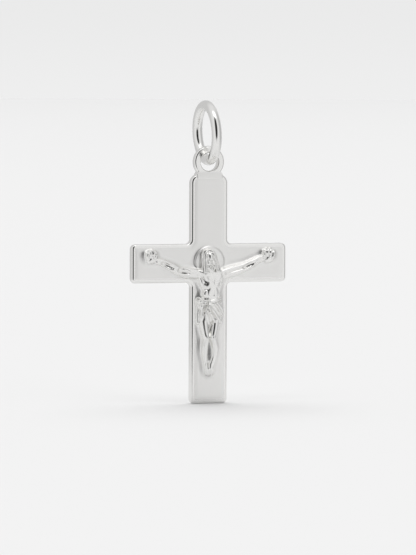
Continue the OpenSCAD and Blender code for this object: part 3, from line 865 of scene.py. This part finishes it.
# The eye: a profile carried round the hole. Each of its points is a share of the way from the
# hole to the outside, an offset along that way, and a height: a quarter circle at the mouth of
# the hole, a flat face, and a quarter circle at the rim. Outwards it reaches the disc's edge, or
# the sides of the neck where those lie further out, down to a little inside the cross. How far
# the neck flares depends on that reach, so the two are worked out in rounds. The neck swells to
# the thickness of the cross on its way down
def eye_surface(sizes):
    angle = np.linspace(0, 2 * math.pi, EYE_STEPS, endpoint=False)[:, None]
    down, across = -np.cos(angle), np.abs(np.sin(angle))
    disc = sizes.eye_outer / 2
    depth = sizes.eye_rise + EYE_ROOT
    flare_span, swell_span = sizes.eye_rise * np.array([FLARE_SPAN, SWELL_SPAN])
    reach = np.full_like(angle, disc)
    for _ in range(NECK_ROUNDS):
        flare = NECK_FLARE * ease(*flare_span, reach * down)
        side = (sizes.neck / 2 + flare) / np.maximum(across, LEAST_SHARE)
        foot = depth / np.maximum(down, LEAST_SHARE)
        reach = np.where(down > LEAST_SHARE, np.maximum(disc, np.minimum(side, foot)), disc)
    half = sizes.eye_thickness / 2
    turn = np.linspace(0, math.pi / 2, EYE_TURN_STEPS)
    plain = np.linspace(0, 1, EYE_FLAT_STEPS + 2)[1:-1]
    mouth = np.stack([0 * turn, EYE_BEVEL * (1 - np.cos(turn)),
                      half - EYE_BEVEL * (1 - np.sin(turn))])
    flat = np.stack([plain, EYE_BEVEL * (1 - plain) - EYE_EDGE * plain, 0 * plain + half])
    rim = np.stack([0 * turn + 1, -EYE_EDGE * (1 - np.cos(turn)),
                    half - EYE_EDGE * (1 - np.sin(turn))])[:, ::-1]
    front = np.concatenate([mouth, flat, rim], axis=1)
    back = front[:, ::-1] * np.array([[1], [1], [-1]])
    share, offset, height = np.concatenate([front, back], axis=1)
    radius = sizes.eye_hole / 2 * (1 - share) + reach * share + offset
    low = -radius * np.cos(angle)
    swell = sizes.thickness / sizes.eye_thickness - 1
    deep = -height * (1 + swell * ease(*swell_span, low))
    points = np.stack([radius * np.sin(angle), deep, -low], axis=-1)
    quads = grid_quads(EYE_STEPS, len(share), loop_rows=True)
    centre = crossing(sizes) + [0, 0, sizes.bar_drop + sizes.eye_rise]
    return points.reshape(-1, 3) + centre, quads


# The jump ring: a circle of wire carried round the middle of the ring, which leans
def ring_surface(sizes):
    along = np.linspace(0, 2 * math.pi, sizes.steps, endpoint=False)[:, None, None]
    around = np.linspace(0, 2 * math.pi, sizes.sides, endpoint=False)[None, :, None]
    wire = sizes.wire / 2
    middle = sizes.outer / 2 - wire
    up = np.array([-math.sin(sizes.lean), 0.0, math.cos(sizes.lean)])
    deep = np.array([0.0, 1.0, 0.0])
    out = np.cos(along) * up + np.sin(along) * deep
    points = (middle + wire * np.cos(around)) * out + wire * np.sin(around) * np.cross(up, deep)
    return points.reshape(-1, 3) + HINGE + middle * up, grid_quads(
        sizes.steps, sizes.sides, loop_rows=True)


# A new node of a tree. Its inputs are given by name or number: another node's output is linked
# to one, and anything else becomes its value. What else is given is set on the node
def add_node(tree, kind, inputs=None, **settings):
    node = tree.nodes.new("ShaderNode" + kind)
    for name, value in settings.items():
        setattr(node, name, value)
    for socket, value in (inputs or {}).items():
        if isinstance(value, bpy.types.NodeSocket):
            tree.links.new(value, node.inputs[socket])
        else:
            node.inputs[socket].default_value = value
    return node


# The output of a node that carries a value from one range to another
def carried(tree, value, low, high, at_low, at_high, **settings):
    ends = {"From Min": low, "From Max": high, "To Min": at_low, "To Max": at_high}
    return add_node(tree, "MapRange", {"Value": value, **ends}, **settings).outputs["Result"]


# The silver's noises: how many swells to the metre, and how much the slow one roughens it. Then
# the heights in metres of the grain and of the waves, on the struck and on the drawn silver
GRAIN_SCALE = 14000
WAVE_SCALE = 520
MOTTLE = 0.03
STRUCK_GRAIN = 0.6e-6
STRUCK_WAVE = 2.0e-6
DRAWN_GRAIN = 0.15e-6
DRAWN_WAVE = 0.6e-6


# A silver: grain and slow waves on Object coordinates, and polish that smooths it
def silver(name, look, rough, polished, grain, wave):
    material = bpy.data.materials.new(name)
    material.use_nodes = True
    tree = material.node_tree
    place = add_node(tree, "TexCoord").outputs["Object"]
    polish = add_node(tree, "Attribute", attribute_name="polish").outputs["Fac"]
    fine, slow = (
        add_node(tree, "TexNoise", {"Vector": place, "Scale": scale, "Detail": detail})
        .outputs["Fac"] for scale, detail in ((GRAIN_SCALE, 3), (WAVE_SCALE, 2)))
    level = carried(tree, polish, 0.0, 1.0, rough, polished)
    mottled = add_node(tree, "Math", {0: slow, 1: MOTTLE, 2: level}, operation="MULTIPLY_ADD")
    waves = add_node(tree, "Bump", {"Strength": 1.0, "Distance": wave, "Height": slow})
    grains = add_node(tree, "Bump", {"Strength": 1.0, "Distance": grain, "Height": fine,
                                     "Normal": waves.outputs["Normal"]})
    shader = tree.nodes["Principled BSDF"]
    shader.inputs["Base Color"].default_value = (*look.silver, 1.0)
    shader.inputs["Metallic"].default_value = 1.0
    tree.links.new(mottled.outputs["Value"], shader.inputs["Roughness"])
    tree.links.new(grains.outputs["Normal"], shader.inputs["Normal"])
    return material


# The struck silver of the cross, its eye and its figure, made once
def struck_silver(look):
    found = bpy.data.materials.get("struck silver")
    return found or silver("struck silver", look, look.satin, look.polish,
                           STRUCK_GRAIN, STRUCK_WAVE)


class PENDANT_OT_cross(bpy.types.Operator):
    """Build the cross and its eye"""
    bl_idname = "pendant.cross"
    bl_label = "Cross and eye"

    def execute(self, context):
        sizes = context.scene.pendant_cross
        points, quads, fans, polish = cross_surface(sizes)
        cross = add_solid("cross", points, quads, fans)
        add_polish(cross, polish)
        points, quads = eye_surface(sizes)
        eye = add_solid("eye", points, quads, [])
        add_polish(eye, ease(*EYE_POLISH, sizes.eye_thickness / 2 - np.abs(points[:, 1])))
        for piece in (cross, eye):
            piece.data.materials.append(struck_silver(context.scene.pendant_finish))
            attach(piece, "cross")
            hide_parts("crucifix")
        return {"FINISHED"}


class PENDANT_OT_figure(bpy.types.Operator):
    """Build the figure in relief, with its head on finer lines"""
    bl_idname = "pendant.figure"
    bl_label = "Figure"

    def execute(self, context):
        sizes, figure = context.scene.pendant_cross, context.scene.pendant_figure
        body, keep = figure_relief(sizes, figure)
        figure_piece = relief_solid("figure", sizes, body, keep, (0.0, 0.0))
        head, keep = head_relief(figure)
        head_piece = relief_solid("head", sizes, head, keep, HEAD_CENTRE)
        for piece in (figure_piece, head_piece):
            piece.data.materials.append(struck_silver(context.scene.pendant_finish))
            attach(piece, "cross")
            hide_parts("crucifix")
        return {"FINISHED"}


class PENDANT_OT_ring(bpy.types.Operator):
    """Build the jump ring"""
    bl_idname = "pendant.ring"
    bl_label = "Jump ring"

    def execute(self, context):
        look = context.scene.pendant_finish
        points, quads = ring_surface(context.scene.pendant_ring)
        ring = add_solid("jump_ring_wire", points, quads, [])
        add_polish(ring, np.ones(len(points)))
        ring.data.materials.append(silver("ring silver", look, look.ring_polish,
                                          look.ring_polish, DRAWN_GRAIN, DRAWN_WAVE))
        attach(ring, "ring")
        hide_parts("jump_ring")
        return {"FINISHED"}


# The way from the pendant to a place at an azimuth and an elevation, in radians
def way_to(azimuth, elevation):
    return Vector((math.sin(azimuth) * math.cos(elevation),
                   -math.cos(azimuth) * math.cos(elevation), math.sin(elevation)))


# Patches of the tent: azimuth, elevation, half width, half height, softness and strength of the
# dim cloths behind and at the right, of a bright window above, and of the dark gap in which the
# camera stands
def tent_patches(look):
    camera = math.degrees(look.azimuth)
    return [
        (185, 0, 70, 60, 0.25, 0.60),
        (82, 0, 34, 55, 0.28, 0.50),
        (camera + 8, 66, 24, 15, 0.3, 1.6),
        (camera - 3, 14, 25, 41, 0.22, 0.03),
    ]


# Shares of the way to the right over which the tent's side comes in, and of the way up for its
# top and for the horizon that the camera sees, above which the backdrop is a little dimmer
SIDE_SPAN = (0.3, 0.95)
TOP_SPAN = (0.12, 0.85)
HORIZON_SPAN = (-0.01, 0.0145)
BACKDROP_FALL = 0.965


# Light by direction: a tent with its own brightness at the right and overhead, and the patches
# over it. A patch is an oval that fades out over its softness to both sides of its border. What
# the camera sees past the floor is plain
def light_tent(look):
    world = bpy.data.worlds.new("light tent")
    world.use_nodes = True
    tree = world.node_tree
    tree.nodes.clear()
    direction = add_node(tree, "TexCoord").outputs["Generated"]

    def number(operation, *values):
        node = add_node(tree, "Math", dict(enumerate(values)), operation=operation)
        return node.outputs["Value"]

    def towards(axis):
        node = add_node(tree, "VectorMath", {0: direction, 1: axis}, operation="DOT_PRODUCT")
        return node.outputs["Value"]

    def between(value, low, high, at_low, at_high):
        return carried(tree, value, low, high, at_low, at_high, interpolation_type="SMOOTHSTEP")

    def mixed(share, one, other):
        return number("ADD", number("MULTIPLY", one, number("SUBTRACT", 1.0, share)),
                      number("MULTIPLY", share, other))

    def patch(azimuth, elevation, half_width, half_height, soft):
        way = way_to(azimuth, elevation)
        right = Vector((math.cos(azimuth), math.sin(azimuth), 0.0))
        wide = number("DIVIDE", towards(right), math.sin(half_width))
        tall = number("DIVIDE", towards(right.cross(way)), math.sin(half_height))
        size = number("SQRT", number("ADD", number("MULTIPLY", wide, wide),
                                     number("MULTIPLY", tall, tall)))
        inside = between(size, 1 - soft, 1 + soft, 1.0, 0.0)
        return number("MULTIPLY", inside, number("GREATER_THAN", towards(way), 0.0))

    height = towards((0.0, 0.0, 1.0))
    tent = between(towards((1.0, 0.0, 0.0)), *SIDE_SPAN, look.tent, look.side)
    tent = mixed(between(height, *TOP_SPAN, 0.0, 1.0), tent, look.top)
    for *angles, soft, strength in tent_patches(look):
        tent = mixed(patch(*map(math.radians, angles), soft), tent, strength)
    plain = between(height, *HORIZON_SPAN, look.backdrop, look.backdrop * BACKDROP_FALL)
    shown = mixed(add_node(tree, "LightPath").outputs["Is Camera Ray"], tent, plain)
    background = add_node(tree, "Background", {"Color": shown})
    add_node(tree, "OutputWorld", {"Surface": background.outputs["Background"]})
    return world


FLOOR_SIDES = 64
FLOOR_RADII = (0.01, 0.03, 0.08, 0.2, 0.5, 1.2, 3.0)


# The floor: rings round the foot of the cross, level with it
def studio_floor():
    angle = np.linspace(0, 2 * math.pi, FLOOR_SIDES, endpoint=False)[None, :, None]
    radius = np.array(FLOOR_RADII)[:, None, None]
    flat = radius * np.concatenate([np.cos(angle), np.sin(angle), 0 * angle], axis=2)
    middle = np.array([[0.0, 0.0, CROSS_LOW[2]]])
    points = np.concatenate([flat.reshape(-1, 3) + middle, middle])
    quads = grid_quads(len(FLOOR_RADII), FLOOR_SIDES)[:, :, ::-1]
    first = np.arange(FLOOR_SIDES)
    fans = np.stack([first, np.roll(first, -1), np.full(FLOOR_SIDES, len(points) - 1)], axis=1)
    return add_solid("floor", points, quads, fans)


# Distances from the foot over which the card's colour is painted darker, a painted shade down to
# CARD_FALL of its tone that fades the far floor into the dimmer backdrop, and over which it opens
# to rays from the silver
CARD_SPAN = (0.2, 3.0)
CARD_FALL = 0.945
OPEN_SPAN = (0.012, 0.09)


# The floor's white card, its colour painted darker far from the foot as a painted shade. Rays from
# the silver see it a little darker, a painted darkening of the floor in the silver's reflections,
# and further out they pass through it and see the tent
def white_card(look):
    card = bpy.data.materials.new("white card")
    card.use_nodes = True
    tree = card.node_tree
    place = add_node(tree, "TexCoord").outputs["Object"]
    away = add_node(tree, "VectorMath", {0: place}, operation="LENGTH").outputs["Value"]
    mirrored = add_node(tree, "LightPath").outputs["Is Glossy Ray"]
    # Painted shade: the card's colour grows darker with distance from the foot
    pale = carried(tree, away, *CARD_SPAN, look.floor, look.floor * CARD_FALL)
    open_share = carried(tree, away, *OPEN_SPAN, 0.0, 1.0)
    # Painted reflection shade: the card's colour is darkened for rays from the silver only
    seen = carried(tree, mirrored, 0.0, 1.0, 1.0, look.floor_seen)
    dimmed, clear_share = (
        add_node(tree, "Math", {0: one, 1: two}, operation="MULTIPLY").outputs["Value"]
        for one, two in ((pale, seen), (open_share, mirrored)))
    shader = tree.nodes["Principled BSDF"]
    shader.inputs["Roughness"].default_value = 1.0
    shader.inputs["Specular IOR Level"].default_value = 0.0
    tree.links.new(dimmed, shader.inputs["Base Color"])
    clear = add_node(tree, "BsdfTransparent").outputs["BSDF"]
    mixed = add_node(tree, "MixShader", {"Fac": clear_share, 1: shader.outputs["BSDF"], 2: clear})
    tree.links.new(mixed.outputs["Shader"], tree.nodes["Material Output"].inputs["Surface"])
    return card


# The overhead light's spread and its elevation
OVERHEAD_SPREAD = math.radians(60)
OVERHEAD_RISE = math.radians(65)


# A wide soft light behind and above, which the silver doesn't mirror: it lights the floor and
# lays the soft shadow in front of the foot
def overhead_light(look):
    light = bpy.data.lights.new("overhead", "SUN")
    light.angle = OVERHEAD_SPREAD
    light.energy = look.overhead
    lamp = bpy.data.objects.new("overhead", light)
    bpy.context.scene.collection.objects.link(lamp)
    way = way_to(look.azimuth + math.pi, OVERHEAD_RISE)
    lamp.matrix_world = (Matrix.Translation(way)
                         @ way.to_track_quat("Z", "Y").to_matrix().to_4x4())
    lamp.visible_glossy = False
    lamp.visible_camera = False


# The camera's sensor in millimetres, and the nearest and furthest that it sees
SENSOR = 36.0
SIGHT = (0.01, 10.0)


class PENDANT_OT_studio(bpy.types.Operator):
    """Build the floor, the light tent and the camera"""
    bl_idname = "pendant.studio"
    bl_label = "Studio"

    def execute(self, context):
        scene = context.scene
        look, sizes = scene.pendant_studio, scene.pendant_cross
        floor = studio_floor()
        floor.data.materials.append(white_card(look))
        scene.world = light_tent(look)
        overhead_light(look)
        scene.view_settings.view_transform = "Standard"
        lens = bpy.data.cameras.new("camera")
        lens.sensor_width = SENSOR
        lens.lens = SENSOR * look.distance / look.field
        lens.clip_start, lens.clip_end = SIGHT
        camera = bpy.data.objects.new("camera", lens)
        scene.collection.objects.link(camera)
        way = way_to(look.azimuth, look.elevation)
        aim = Vector(crossing(sizes)) + Vector((look.aim_right, -sizes.thickness / 2, look.aim_up))
        turn = (-way).to_track_quat("-Z", "Y").to_matrix() @ Matrix.Rotation(look.roll, 3, "Z")
        camera.matrix_world = Matrix.Translation(aim + way * look.distance) @ turn.to_4x4()
        scene.camera = camera
        return {"FINISHED"}


OPERATORS = (PENDANT_OT_cross, PENDANT_OT_figure, PENDANT_OT_ring, PENDANT_OT_studio)


class PENDANT_PT_panel(bpy.types.Panel):
    """The steps that build the pendant"""
    bl_label = "Crucifix Pendant"
    bl_idname = "PENDANT_PT_panel"
    bl_space_type = "VIEW_3D"
    bl_region_type = "UI"
    bl_category = "Pendant"

    def draw(self, context):
        for operator in OPERATORS:
            self.layout.operator(operator.bl_idname)


SETTINGS = {
    "pendant_cross": CrossSizes,
    "pendant_figure": FigureSizes,
    "pendant_ring": RingSizes,
    "pendant_finish": FinishLook,
    "pendant_studio": StudioLook,
}


def register():
    for name, settings in SETTINGS.items():
        bpy.utils.register_class(settings)
        setattr(bpy.types.Scene, name, PointerProperty(type=settings))
    for shown in (*OPERATORS, PENDANT_PT_panel):
        bpy.utils.register_class(shown)


def unregister():
    for shown in (PENDANT_PT_panel, *reversed(OPERATORS)):
        bpy.utils.unregister_class(shown)
    for name, settings in SETTINGS.items():
        delattr(bpy.types.Scene, name)
        bpy.utils.unregister_class(settings)


def main():
    register()
    bpy.ops.pendant.cross()
    bpy.ops.pendant.figure()
    bpy.ops.pendant.ring()
    bpy.ops.pendant.studio()


if __name__ == "__main__":
    main()
